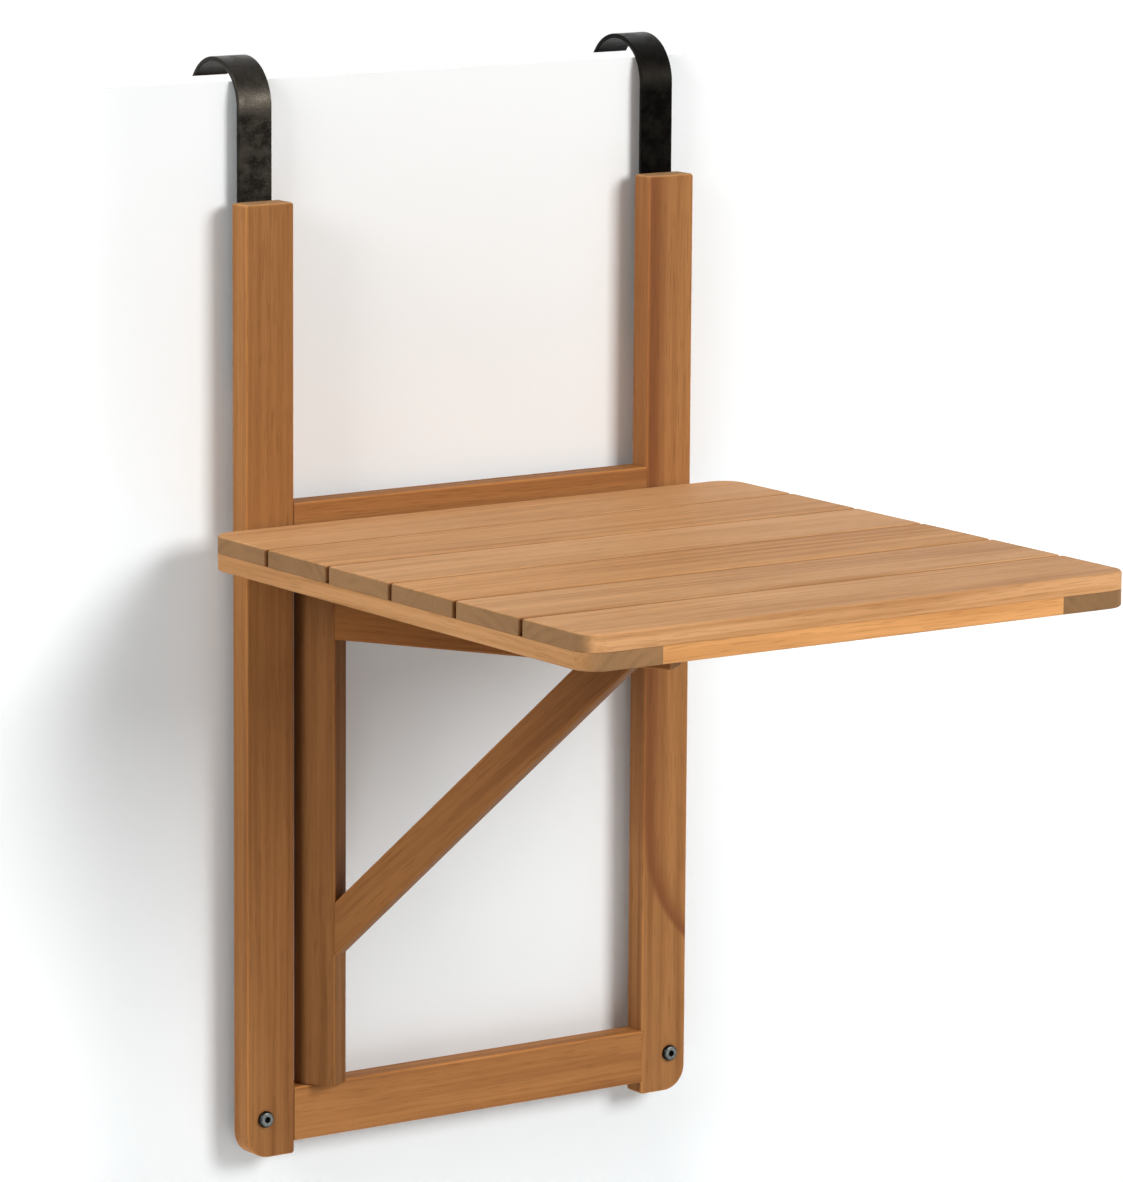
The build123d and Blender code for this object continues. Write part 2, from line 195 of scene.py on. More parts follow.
def ramp(tree, value, low, high, to_low=0.0, to_high=1.0):
    """Smoothly map a span of a value onto another span, clamped."""
    node = add(tree, "ShaderNodeMapRange", {"interpolation_type": "SMOOTHSTEP"}, Value=value)
    node.inputs["From Min"].default_value = low
    node.inputs["From Max"].default_value = high
    node.inputs["To Min"].default_value = to_low
    node.inputs["To Max"].default_value = to_high
    return node.outputs["Result"]


def mix(tree, share, first, second, blend="MIX"):
    """Mix two colours; the node's colours are its inputs 6 and 7 and its output 2."""
    node = tree.nodes.new("ShaderNodeMix")
    node.data_type = "RGBA"
    node.blend_type = blend
    join(tree, node.inputs[0], share)
    join(tree, node.inputs[6], opaque(first))
    join(tree, node.inputs[7], opaque(second))
    return node.outputs[2]


def opaque(colour):
    """A colour with its alpha; a socket stays as it is."""
    if isinstance(colour, bpy.types.NodeSocket):
        return colour
    return (*colour[:3], 1.0)


def tinted(tree, colour, factors):
    """A colour times another colour or socket."""
    return mix(tree, 1.0, colour, factors, "MULTIPLY")


def weighted_sum(tree, start, *terms):
    """A number or socket plus other sockets times their weights."""
    total = start
    for socket, weight in terms:
        total = calc(tree, "MULTIPLY_ADD", socket, weight, total)
    return total


def scale_vector(tree, vector, factor):
    """A vector times a number or socket."""
    node = add(tree, "ShaderNodeVectorMath", {"operation": "SCALE"}, Vector=vector, Scale=factor)
    return node.outputs["Vector"]


def stretched_noise(tree, vector, along, across, detail):
    """Noise with its own number of cells per metre along the grain and across it."""
    scaled = vector_calc(tree, "MULTIPLY", vector, (along, across, across))
    noise = add(tree, "ShaderNodeTexNoise", Vector=scaled, Scale=1.0, Detail=detail)
    return noise.outputs


def new_group(name, inputs, outputs):
    """A shader node group with its sockets; returns the tree, its input node and its output node."""
    tree = bpy.data.node_groups.new(name, "ShaderNodeTree")
    for label, kind in inputs:
        tree.interface.new_socket(label, in_out="INPUT", socket_type=kind)
    for label, kind in outputs:
        tree.interface.new_socket(label, in_out="OUTPUT", socket_type=kind)
    return tree, tree.nodes.new("NodeGroupInput"), tree.nodes.new("NodeGroupOutput")


# Shared surface effects

# Factors on the wood's colour: heartwood and pores are its own, the edge factor is wear with a painted
# highlight, and the gap factor is painted shade
HEARTWOOD_TINT = (0.84, 0.72, 0.76)
PORE_TINT = (0.46, 0.40, 0.36)
# Paler eased edges: partly wear, partly a painted highlight
EDGE_WEAR_AND_HIGHLIGHT_TINT = (1.32, 1.28, 1.18)
# Painted shade on the sides of slats that face a gap
GAP_SHADE_TINT = (0.30, 0.22, 0.15)

# Factors on the colour of a metal; the first paints a highlight on the hooks' bends, the second paints shade
# on the bolts
HIGHLIGHT_METAL_TINT = (1.35, 1.35, 1.40)
# Painted shade in a bolt's socket and round its rim
SHADOW_TINT = (0.05, 0.05, 0.05)
DULL_PLATE = 0.7
TARNISH = 0.35

# Painted reflection: the right hook's coat is darkened to stand in for the dark surroundings it reflects, so
# it is the darker one
HOOK_REFLECTION_TONES = {"left": 0.72, "right": 0.15}

# How far a heart line fades on its outer and inner side, in metres
HEART_OUTER = 0.0050
HEART_INNER = 0.0150


def acacia_grain_group():
    """Growth rings, streaks and pores of a board whose grain runs along X, with the pith on the X axis."""
    tree, given, made = new_group(
        "Acacia grain",
        [
            ("Board", "NodeSocketVector"),
            ("End", "NodeSocketFloat"),
            ("Light", "NodeSocketColor"),
            ("Dark", "NodeSocketColor"),
            ("End Colour", "NodeSocketColor"),
            ("Ring Spacing", "NodeSocketFloat"),
            ("Figure", "NodeSocketFloat"),
            ("Pores", "NodeSocketFloat"),
            ("Heart Start", "NodeSocketVector"),
            ("Heart Curve", "NodeSocketFloat"),
            ("Heart", "NodeSocketFloat"),
            ("Edge", "NodeSocketFloat"),
            ("Shade", "NodeSocketFloat"),
        ],
        [("Colour", "NodeSocketColor"), ("Roughness", "NodeSocketFloat"), ("Height", "NodeSocketFloat")],
    )
    board = given.outputs["Board"]

    # The rings wander along the board
    wander = stretched_noise(tree, board, along=2.6, across=12.0, detail=2.0)["Color"]
    wander = vector_calc(tree, "SUBTRACT", wander, (0.5, 0.5, 0.5))
    shift = scale_vector(tree, wander, given.outputs["Figure"])
    log = vector_calc(tree, "ADD", board, shift)
    radius = vector_calc(tree, "LENGTH", vector_calc(tree, "MULTIPLY", log, (0.0, 1.0, 1.0)))

    # Growth rings round the pith, stronger in places
    turns = calc(tree, "DIVIDE", radius, given.outputs["Ring Spacing"])
    wave = calc(tree, "SINE", calc(tree, "MULTIPLY", turns, math.tau))
    ring = ramp(tree, wave, -0.4, 1.0)
    presence = stretched_noise(tree, log, along=3.0, across=40.0, detail=1.0)["Fac"]
    ring = calc(tree, "MULTIPLY", ring, ramp(tree, presence, 0.35, 0.70))

    # Streaks, fine lines, broad patches and open pores
    streak = stretched_noise(tree, log, along=5.0, across=300.0, detail=3.0)["Fac"]
    streak = ramp(tree, streak, 0.34, 0.70)
    fine = stretched_noise(tree, log, along=16.0, across=1100.0, detail=2.0)["Fac"]
    fine = ramp(tree, fine, 0.30, 0.72)
    patch = stretched_noise(tree, log, along=3.5, across=26.0, detail=2.0)["Fac"]
    patch = ramp(tree, patch, 0.30, 0.72)
    pore = stretched_noise(tree, log, along=55.0, across=1500.0, detail=0.0)["Fac"]
    pore = calc(tree, "MULTIPLY", ramp(tree, pore, 0.60, 0.74), given.outputs["Pores"])

    # A dark heart line that curves away below its start
    past_start = vector_calc(tree, "SUBTRACT", given.outputs["Heart Start"], board)
    past_start = add(tree, "ShaderNodeSeparateXYZ", Vector=past_start)
    below = calc(tree, "MAXIMUM", past_start.outputs["X"], 0.0)
    bend = calc(tree, "MULTIPLY", calc(tree, "POWER", below, 3.0), given.outputs["Heart Curve"])
    from_heart = calc(tree, "SUBTRACT", bend, past_start.outputs["Z"])
    outside = ramp(tree, from_heart, 0.0, HEART_OUTER, 1.0, 0.0)
    inside = ramp(tree, from_heart, -HEART_INNER, 0.0)
    heart = calc(tree, "MULTIPLY", calc(tree, "MULTIPLY", outside, inside), given.outputs["Heart"])

    # Long grain
    share = weighted_sum(tree, 0.0, (ring, 0.34), (streak, 0.30), (patch, 0.40), (fine, 0.12))
    share = add(tree, "ShaderNodeClamp", Value=share).outputs[0]
    long_grain = mix(tree, share, given.outputs["Light"], given.outputs["Dark"])
    long_grain = mix(tree, heart, long_grain, tinted(tree, given.outputs["Dark"], HEARTWOOD_TINT))
    long_grain = mix(tree, pore, long_grain, tinted(tree, long_grain, PORE_TINT))

    # End grain, eased edges made paler by wear and a painted highlight, and painted shade on the sides of
    # gaps
    end_tone = weighted_sum(tree, 1.10, (ring, -0.16), (patch, -0.10), (fine, -0.12))
    end_grain = tinted(tree, given.outputs["End Colour"], end_tone)
    on_end = ramp(tree, given.outputs["End"], 0.45, 0.98)
    bare = mix(tree, on_end, long_grain, end_grain)
    bare = mix(tree, given.outputs["Edge"], bare, tinted(tree, bare, EDGE_WEAR_AND_HIGHLIGHT_TINT))
    colour = mix(tree, given.outputs["Shade"], bare, tinted(tree, bare, GAP_SHADE_TINT))
    tree.links.new(colour, made.inputs["Colour"])

    dullness = weighted_sum(tree, 0.54, (streak, 0.12), (pore, 0.20), (on_end, 0.16))
    tree.links.new(dullness, made.inputs["Roughness"])
    height = weighted_sum(tree, 0.0, (fine, 0.35), (pore, -0.8))
    tree.links.new(height, made.inputs["Height"])
    return tree


def clouded_metal_group():
    """Clouds and specks over steel, rubber or nylon, with masks for a painted highlight and painted shade."""
    tree, given, made = new_group(
        "Clouded metal",
        [
            ("Place", "NodeSocketVector"),
            ("Base", "NodeSocketColor"),
            ("Bloom", "NodeSocketColor"),
            ("Cloud Scale", "NodeSocketFloat"),
            ("Smoothest", "NodeSocketFloat"),
            ("Wear", "NodeSocketFloat"),
            ("Soot", "NodeSocketFloat"),
        ],
        [("Colour", "NodeSocketColor"), ("Roughness", "NodeSocketFloat"), ("Height", "NodeSocketFloat")],
    )
    scaled = scale_vector(tree, given.outputs["Place"], given.outputs["Cloud Scale"])
    clouds = add(tree, "ShaderNodeTexNoise", Vector=scaled, Scale=1.0, Detail=5.0, Roughness=0.62)
    specks = add(tree, "ShaderNodeTexNoise", Vector=scaled, Scale=9.0, Detail=2.0)
    cloud = ramp(tree, clouds.outputs["Fac"], 0.38, 0.68)
    speck = ramp(tree, specks.outputs["Fac"], 0.42, 0.72)
    share = weighted_sum(tree, 0.0, (cloud, 0.72), (speck, 0.28))
    bloom = given.outputs["Bloom"]
    coat = mix(tree, share, given.outputs["Base"], bloom)
    # Painted highlight where the mask is set
    coat = mix(tree, given.outputs["Wear"], coat, tinted(tree, bloom, HIGHLIGHT_METAL_TINT))
    # Painted shade where the mask is set
    colour = mix(tree, given.outputs["Soot"], coat, tinted(tree, coat, SHADOW_TINT))
    tree.links.new(colour, made.inputs["Colour"])
    dullness = weighted_sum(tree, given.outputs["Smoothest"], (cloud, 0.14), (speck, 0.08))
    tree.links.new(dullness, made.inputs["Roughness"])
    tree.links.new(weighted_sum(tree, cloud, (speck, 0.4)), made.inputs["Height"])
    return tree


def group_of(name, builder):
    """A shared node group, built once."""
    return bpy.data.node_groups.get(name) or builder()


# Materials

def empty_material(name):
    """A node material without nodes; returns the material and its tree."""
    material = bpy.data.materials.new(name)
    material.use_nodes = True
    material.node_tree.nodes.clear()
    return material, material.node_tree


def new_material(name):
    """A node material with a Principled shader; returns the material, its tree and the shader."""
    material, tree = empty_material(name)
    shader = tree.nodes.new("ShaderNodeBsdfPrincipled")
    output = tree.nodes.new("ShaderNodeOutputMaterial")
    tree.links.new(shader.outputs["BSDF"], output.inputs["Surface"])
    return material, tree, shader


def place_group(tree, group, **inputs):
    """Put a shared group into a material."""
    node = tree.nodes.new("ShaderNodeGroup")
    node.node_tree = group
    for name, value in inputs.items():
        join(tree, node.inputs[name.replace("_", " ")], value)
    return node


def finish_surface(tree, shader, effect, depth):
    """Feed a shared effect into the shader, its height as a bump of a real depth."""
    bump = add(tree, "ShaderNodeBump", Strength=0.5, Distance=depth, Height=effect.outputs["Height"])
    tree.links.new(effect.outputs["Colour"], shader.inputs["Base Color"])
    tree.links.new(effect.outputs["Roughness"], shader.inputs["Roughness"])
    tree.links.new(bump.outputs["Normal"], shader.inputs["Normal"])


class Board:
    """How one stick was sawn: the directions of its grain and of one side, the pith's place, its tone,
    any dark heart line, and the directions in which its faces get painted shade as the sides of a gap."""

    def __init__(
        self, grain, side, pith, tone=1.0, red=0.0, end_tone=1.0,
        heart=0.0, heart_start=None, heart_curve=0.0, gap_shaded_sides=(),
    ):
        self.grain = Vector(grain).normalized()
        self.side = Vector(side).normalized()
        self.pith = pith
        self.tone = tone
        self.red = red
        self.heart = heart
        self.heart_start = heart_start
        self.heart_curve = heart_curve
        self.end_tone = end_tone
        self.gap_shaded_sides = gap_shaded_sides

    def to_board(self, middle):
        """The turn and shift that bring a piece onto the board's own axes."""
        turn = Matrix((self.grain, self.side, self.grain.cross(self.side)))
        shift = Vector(self.pith) - turn @ middle
        return turn, shift

    def tint(self, colour):
        """A wood colour in this board's tone, with red put up and blue put down by its redness."""
        red, green, blue = (channel * self.tone for channel in colour)
        return min(1.0, red * (1 + 0.5 * self.red)), green, blue * (1 - self.red)


# How far a face has to turn from the flat to count as an eased edge, paled by wear and a painted highlight,
# and towards a gap to get painted shade
EDGE_FLATNESS = (0.88, 0.985)
GAP_FACING = (0.14, 0.80)

# Depth in metres of the grain's relief, and the dull sheen of oiled wood
GRAIN_DEPTH = 0.0004
OILED_SPECULAR = 0.14


def wood_material(name, board, middle, light, dark, edges):
    """Oiled acacia for one board."""
    wood = bpy.context.scene.balcony_wood
    material, tree, shader = new_material(name)
    turn, shift = board.to_board(middle)
    heart_start = turn @ Vector(board.heart_start or middle) + shift
    angles = turn.to_euler()
    place = tree.nodes.new("ShaderNodeTexCoord")
    normal = place.outputs["Normal"]
    on_board = add(
        tree, "ShaderNodeMapping", Vector=place.outputs["Object"], Rotation=angles, Location=shift
    )
    facing = add(tree, "ShaderNodeMapping", {"vector_type": "VECTOR"}, Vector=normal, Rotation=angles)
    facing = vector_calc(tree, "ABSOLUTE", facing.outputs["Vector"])
    facing = add(tree, "ShaderNodeSeparateXYZ", Vector=facing)
    along = facing.outputs["X"]
    across = calc(tree, "MAXIMUM", facing.outputs["Y"], facing.outputs["Z"])
    flat = calc(tree, "MAXIMUM", along, across)
    lift = add(tree, "ShaderNodeSeparateXYZ", Vector=normal).outputs["Z"]
    upright = calc(tree, "SUBTRACT", 1.0, calc(tree, "MULTIPLY", lift, lift))
    # Painted shade on the faces that look into a gap between slats
    gap_shade = 0.0
    for direction in board.gap_shaded_sides:
        toward = vector_calc(tree, "DOT_PRODUCT", normal, direction)
        toward = calc(tree, "MULTIPLY", toward, upright)
        gap_shade = calc(tree, "MAXIMUM", ramp(tree, toward, *GAP_FACING), gap_shade)
    grain = place_group(
        tree,
        group_of("Acacia grain", acacia_grain_group),
        Board=on_board.outputs["Vector"],
        End=along,
        Light=opaque(board.tint(light)),
        Dark=opaque(board.tint(dark)),
        End_Colour=opaque([channel * board.end_tone for channel in wood.end]),
        Ring_Spacing=wood.ring_spacing,
        Figure=wood.figure,
        Pores=wood.pores,
        Heart_Start=heart_start,
        Heart_Curve=board.heart_curve,
        Heart=board.heart,
        Edge=ramp(tree, flat, *EDGE_FLATNESS, edges, 0.0),
        Shade=gap_shade,
    )
    finish_surface(tree, shader, grain, GRAIN_DEPTH)
    shader.inputs["Specular IOR Level"].default_value = OILED_SPECULAR
    return material


def metal_material(name, base, bloom, cloud_scale, smoothest, metallic, depth, highlight=None, shadow=None):
    """Steel, rubber or nylon with clouds in it; the painted highlight and painted shade makers build masks
    from the place on the piece.
    """
    material, tree, shader = new_material(name)
    place = tree.nodes.new("ShaderNodeTexCoord").outputs["Object"]
    metal = place_group(
        tree,
        group_of("Clouded metal", clouded_metal_group),
        Place=place,
        Base=opaque(base),
        Bloom=opaque(bloom),
        Cloud_Scale=cloud_scale,
        Smoothest=smoothest,
        Wear=highlight(tree, place) if highlight else 0.0,
        Soot=shadow(tree, place) if shadow else 0.0,
    )
    finish_surface(tree, shader, metal, depth)
    shader.inputs["Metallic"].default_value = metallic
    return material


def plated_steel():
    """Zinc plating, made once."""
    steel = bpy.context.scene.balcony_steel
    dull = [DULL_PLATE * channel for channel in steel.plate]
    return bpy.data.materials.get("Zinc plate") or metal_material(
        "Zinc plate", steel.plate, dull, cloud_scale=320.0, smoothest=0.30, metallic=1.0, depth=0.00005
    )


def bend_highlight(tree, place):
    """A painted highlight on a strap, by the height in metres: from the start of its bend, fading over the
    top.
    """
    height = add(tree, "ShaderNodeSeparateXYZ", Vector=place).outputs["Z"]
    rise = ramp(tree, height, -0.007, 0.001)
    fade = ramp(tree, height, 0.003, 0.014, 1.0, 0.35)
    return calc(tree, "MULTIPLY", rise, fade)


def bolt_shadow(centre):
    """Mask maker for one bolt's painted shade: dark inside the socket and round the rim, by the radius in
    metres.
    """
    def mask(tree, place):
        across = vector_calc(tree, "SUBTRACT", place, centre)
        across = vector_calc(tree, "MULTIPLY", across, (1.0, 0.0, 1.0))
        radius = vector_calc(tree, "LENGTH", across)
        socket = ramp(tree, radius, 0.0019, 0.0022, 1.0, 0.0)
        rim = ramp(tree, radius, 0.0034, 0.0050, 0.0, 0.9)
        return calc(tree, "MAXIMUM", socket, rim)
    return mask


def give(node_name, material):
    """Put a material on a CAD node's only slot."""
    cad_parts[node_name].material_slots[0].material = material


def middle_of(node_name):
    """The middle of a CAD node's box."""
    low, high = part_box(node_name)
    return (low + high) / 2


# How each stick of the table was sawn

ALONG_X = (1, 0, 0)
ALONG_Y = (0, 1, 0)
ALONG_Z = (0, 0, 1)
LEFTWARD = (-1, 0, 0)
FORWARD = (0, -1, 0)
BACKWARD = (0, 1, 0)
UP = (0, 0, 1)
BOTH_SIDES = (FORWARD, BACKWARD)


def slat_board(pith, tone, end_tone, red=0.0, gap_shaded_sides=BOTH_SIDES):
    """One slat of the top, with painted shade on the sides that face a gap."""
    return Board(
        ALONG_X, BACKWARD, pith=pith, tone=tone, red=red, end_tone=end_tone, gap_shaded_sides=gap_shaded_sides
    )


FRAME_BOARDS = {
    "left_stile": Board(ALONG_Z, BACKWARD, pith=(0.31, 0.05, 0.035), end_tone=1.5),
    "right_stile": Board(
        ALONG_Z, BACKWARD, pith=(1.27, 0.06, 0.045), tone=1.20, red=-0.08, end_tone=1.5,
        heart=0.9, heart_start=(0.138, -0.047, -0.466), heart_curve=36.0,
    ),
    "upper_rail": Board(ALONG_X, BACKWARD, pith=(0.55, 0.06, 0.02), tone=1.02, red=0.04),
    # Painted light: the lower rail's tone is raised to make up for the lamps' falloff towards the bottom
    "lower_rail": Board(ALONG_X, BACKWARD, pith=(2.15, 0.07, 0.03), tone=1.24),
}

TOP_BOARDS = {
    "slat_1": slat_board((0.20, 0.02, 0.075), tone=0.98, end_tone=0.78, gap_shaded_sides=(FORWARD,)),
    "slat_2": slat_board((1.13, -0.03, 0.060), tone=0.97, end_tone=0.74, red=0.05),
    "slat_3": slat_board((2.71, 0.01, 0.090), tone=1.03, end_tone=0.83),
    "slat_4": slat_board((3.37, 0.05, 0.055), tone=0.96, end_tone=0.77, red=0.10),
    "slat_5": slat_board((4.09, -0.02, 0.070), tone=1.01, end_tone=0.80),
    "slat_6": slat_board((5.53, 0.03, 0.080), tone=1.04, end_tone=0.81, gap_shaded_sides=(BACKWARD,)),
    "left_batten": Board(ALONG_Y, LEFTWARD, pith=(0.47, 0.04, 0.045), tone=0.63, red=0.12, end_tone=1.04),
    "right_batten": Board(ALONG_Y, LEFTWARD, pith=(1.61, -0.05, 0.040), tone=0.66, red=0.08, end_tone=0.85),
    "centre_batten": Board(ALONG_Y, LEFTWARD, pith=(2.43, 0.03, 0.050), tone=0.70, red=0.05),
    "front_rail": Board(ALONG_X, BACKWARD, pith=(6.11, 0.06, 0.030), tone=1.07, red=0.19),
}


def bracket_boards():
    """The bracket's sticks; the arm's grain runs from post to tip, the brace's along its own slope."""
    post = middle_of("bracket_post")
    arm = middle_of("bracket_arm")
    brace_low, brace_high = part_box("bracket_brace")
    reach = Vector((arm.x - post.x, arm.y - post.y, 0))
    span = brace_high - brace_low
    slope = reach.normalized() * span.xy.length
    slope.z = span.z
    side = Vector(ALONG_Z).cross(reach)
    return {
        # The bracket's darker tones are partly a darker wood, partly painted shade from the tabletop above
        "bracket_post": Board(ALONG_Z, side, pith=(0.83, 0.045, 0.02), tone=0.66, red=0.04),
        "bracket_arm": Board(reach, side, pith=(1.91, 0.055, 0.03), tone=0.68, red=0.26),
        "bracket_brace": Board(slope, side, pith=(2.87, 0.05, -0.03), tone=0.70, red=0.06),
        "arm_dowels": Board(reach, side, pith=(3.3, 0.02, 0.02), tone=1.5),
        "brace_dowels": Board(slope, side, pith=(3.9, 0.02, 0.02), tone=1.5),
    }


def dress_boards(boards, light, dark, edges):
    """Give every stick the material of its own board."""
    for node_name, board in boards.items():
        wood = wood_material(f"Acacia {node_name}", board, middle_of(node_name), light, dark, edges)
        give(node_name, wood)


# Countersunk screws by Geometry Nodes

# The cross recess as shares of the head's radius and of its cone's depth
RECESS_LENGTH = 1.15
RECESS_WIDTH = 0.26
RECESS_DEPTH = 1.1


def screw_tree():
    """Screws stood on points: a countersunk head with a cross recess, and a plain shank."""
    tree = bpy.data.node_groups.new("Countersunk screws", "GeometryNodeTree")
    tree.is_modifier = True
    tree.interface.new_socket("Geometry", in_out="INPUT", socket_type="NodeSocketGeometry")
    for label in ("Head Radius", "Shank Radius", "Cone", "Length"):
        tree.interface.new_socket(label, in_out="INPUT", socket_type="NodeSocketFloat")
    tree.interface.new_socket("Turn", in_out="INPUT", socket_type="NodeSocketRotation")
    tree.interface.new_socket("Material", in_out="INPUT", socket_type="NodeSocketMaterial")
    tree.interface.new_socket("Seed", in_out="INPUT", socket_type="NodeSocketInt")
    tree.interface.new_socket("Geometry", in_out="OUTPUT", socket_type="NodeSocketGeometry")
    given = tree.nodes.new("NodeGroupInput")
    made = tree.nodes.new("NodeGroupOutput")
    sizes = given.outputs

    head = add(tree, "GeometryNodeMeshCone", {"fill_type": "TRIANGLE_FAN"}, Vertices=32)
    join(tree, head.inputs["Radius Top"], sizes["Shank Radius"])
    join(tree, head.inputs["Radius Bottom"], sizes["Head Radius"])
    join(tree, head.inputs["Depth"], sizes["Cone"])

    bar = calc(tree, "MULTIPLY", sizes["Head Radius"], RECESS_LENGTH)
    web = calc(tree, "MULTIPLY", sizes["Head Radius"], RECESS_WIDTH)
    depth = calc(tree, "MULTIPLY", sizes["Cone"], RECESS_DEPTH)
    cutters = tree.nodes.new("GeometryNodeJoinGeometry")
    for width, breadth in ((bar, web), (web, bar)):
        size = add(tree, "ShaderNodeCombineXYZ", X=width, Y=breadth, Z=depth)
        cutter = add(tree, "GeometryNodeMeshCube", Size=size.outputs["Vector"])
        tree.links.new(cutter.outputs["Mesh"], cutters.inputs["Geometry"])
    recess = tree.nodes.new("GeometryNodeMeshBoolean")
    recess.operation = "DIFFERENCE"
    tree.links.new(head.outputs["Mesh"], recess.inputs["Mesh 1"])
    tree.links.new(cutters.outputs["Geometry"], recess.inputs["Mesh 2"])

    run = calc(tree, "SUBTRACT", sizes["Length"], sizes["Cone"])
    shank = add(tree, "GeometryNodeMeshCylinder", Vertices=20, Radius=sizes["Shank Radius"], Depth=run)
    lift = calc(tree, "MULTIPLY_ADD", run, 0.5, sizes["Cone"])
    lifted = add(
        tree, "GeometryNodeTransform", Geometry=shank.outputs["Mesh"],
        Translation=add(tree, "ShaderNodeCombineXYZ", Z=lift).outputs["Vector"],
    )
    screw = tree.nodes.new("GeometryNodeJoinGeometry")
    tree.links.new(recess.outputs["Mesh"], screw.inputs["Geometry"])
    tree.links.new(lifted.outputs["Geometry"], screw.inputs["Geometry"])

    # A random number's largest value is input 3, and the number itself is output 1
    spin = add(tree, "FunctionNodeRandomValue", {"data_type": "FLOAT"}, Seed=sizes["Seed"])
    spin.inputs[3].default_value = math.tau
    twist = add(tree, "FunctionNodeAxisAngleToRotation", Axis=UP, Angle=spin.outputs[1])
    aim = add(tree, "FunctionNodeRotateRotation", {"rotation_space": "LOCAL"}, Rotation=sizes["Turn"])
    join(tree, aim.inputs["Rotate By"], twist.outputs["Rotation"])
    points = add(tree, "GeometryNodeMeshToPoints", Mesh=sizes["Geometry"])
    stood = add(
        tree, "GeometryNodeInstanceOnPoints", Points=points.outputs["Points"],
        Instance=screw.outputs["Geometry"], Rotation=aim.outputs["Rotation"],
    )
    real = add(tree, "GeometryNodeRealizeInstances", Geometry=stood.outputs["Instances"])
    coloured = add(
        tree, "GeometryNodeSetMaterial", Geometry=real.outputs["Geometry"], Material=sizes["Material"]
    )
    tree.links.new(coloured.outputs["Geometry"], made.inputs["Geometry"])
    return tree


def set_input(modifier, tree, label, value):
    """Set a modifier's input by its socket's identifier."""
    for item in tree.interface.items_tree:
        if item.name == label and item.in_out == "INPUT":
            modifier[item.identifier] = value


def stand_screws(node_name, body, places, direction, sizes, material, seed):
    """Replace a CAD node's screws by screws stood on points."""
    tree = group_of("Countersunk screws", screw_tree)
    points = bpy.data.meshes.new("screw points")
    points.from_pydata(places, [], [])
    maker = bpy.data.objects.new("screw maker", points)
    bpy.context.scene.collection.objects.link(maker)
    modifier = maker.modifiers.new("Screws", "NODES")
    modifier.node_group = tree
    for label, value in sizes.items():
        set_input(modifier, tree, label, value)
    turn = Vector(UP).rotation_difference(Vector(direction)).to_euler()
    set_input(modifier, tree, "Turn", turn)
    set_input(modifier, tree, "Material", material)
    set_input(modifier, tree, "Seed", seed)
    bpy.context.view_layer.update()
    graph = bpy.context.evaluated_depsgraph_get()
    mesh = bpy.data.meshes.new_from_object(maker.evaluated_get(graph))
    bpy.data.objects.remove(maker)
    mesh.name = f"{node_name}_plated"
    piece = bpy.data.objects.new(f"{node_name}_plated", mesh)
    bpy.context.scene.collection.objects.link(piece)
    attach(piece, body)
    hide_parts(node_name)


def screw_sizes(head_radius, shank_radius, length):
    """Sizes of one kind of screw, in metres."""
    return {
        "Head Radius": head_radius,
        "Shank Radius": shank_radius,
        "Cone": head_radius - shank_radius,
        "Length": length,
    }


HOOK_SCREW = screw_sizes(head_radius=0.004, shank_radius=0.002, length=0.016)
SLAT_SCREW = screw_sizes(head_radius=0.0035, shank_radius=0.00175, length=0.017)
LEAF_SCREW = screw_sizes(head_radius=0.0025, shank_radius=0.0013, length=0.014)

# Numbers of the axes in a vector
X_AXIS = 0
Z_AXIS = 2

BATTEN_SCREWS = ("left_batten_screws", "right_batten_screws", "centre_batten_screws")
# Seed of the first row of screws other than the battens'
ROW_SEED = 10


def spaced_heads(node_name, axis, count, head_radius, direction):
    """Centres of evenly spaced heads along one axis of a node's box, on the face that they enter by."""
    low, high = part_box(node_name)
    face = (low + high) / 2
    for index, step in enumerate(direction):
        if step:
            face[index] = low[index] if step > 0 else high[index]
    first = low[axis] + head_radius
    last = high[axis] - head_radius
    places = []
    for index in range(count):
        place = face.copy()
        place[axis] = first + (last - first) * index / (count - 1)
        places.append(place)
    return places


def slat_screw_places(node_name):
    """Head centres under the slats, as the node's box and the slats give them."""
    low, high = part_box(node_name)
    x = (low.x + high.x) / 2
    head_radius = (high.x - low.x) / 2
    half_pitch = high.y - head_radius - middle_of(SLATS[0]).y
    offsets = (0.0,) if abs(half_pitch) < head_radius else (half_pitch, -half_pitch)
    slats = [slat for slat in SLATS if middle_of(slat).y > low.y]
    return [Vector((x, middle_of(slat).y + offset, low.z)) for slat in slats for offset in offsets]


# Camera, backdrop and lamps

def place_camera(stage):
    """The photograph's camera: its angles, focal length and place."""
    azimuth = stage.azimuth
    elevation = stage.elevation
    roll = stage.roll
    ahead = Vector((
        -math.sin(azimuth) * math.cos(elevation),
        math.cos(azimuth) * math.cos(elevation),
        -math.sin(elevation),
    ))
    level = Vector((math.cos(azimuth), math.sin(azimuth), 0))
    upright = level.cross(ahead)
    right = level * math.cos(roll) + upright * math.sin(roll)
    up = upright * math.cos(roll) - level * math.sin(roll)
    data = bpy.data.cameras.new("Photo camera")
    data.sensor_width = 36.0
    data.lens = stage.focal_pixels * data.sensor_width / max(PHOTO_WIDTH, PHOTO_HEIGHT)
    data.clip_end = 100.0
    camera = bpy.data.objects.new("Photo camera", data)
    axes = Matrix((right, up, -ahead)).transposed().to_4x4()
    camera.matrix_world = Matrix.Translation(stage.camera_place) @ axes
    bpy.context.scene.collection.objects.link(camera)
    bpy.context.scene.camera = camera


WHITE = (1.0, 1.0, 1.0, 1.0)

# Colours of the backdrop as other surfaces get it and as the camera sees it
BACKDROP_BOUNCE = (0.80, 0.81, 0.82)
BACKDROP_SEEN = (0.965, 0.995, 1.000)

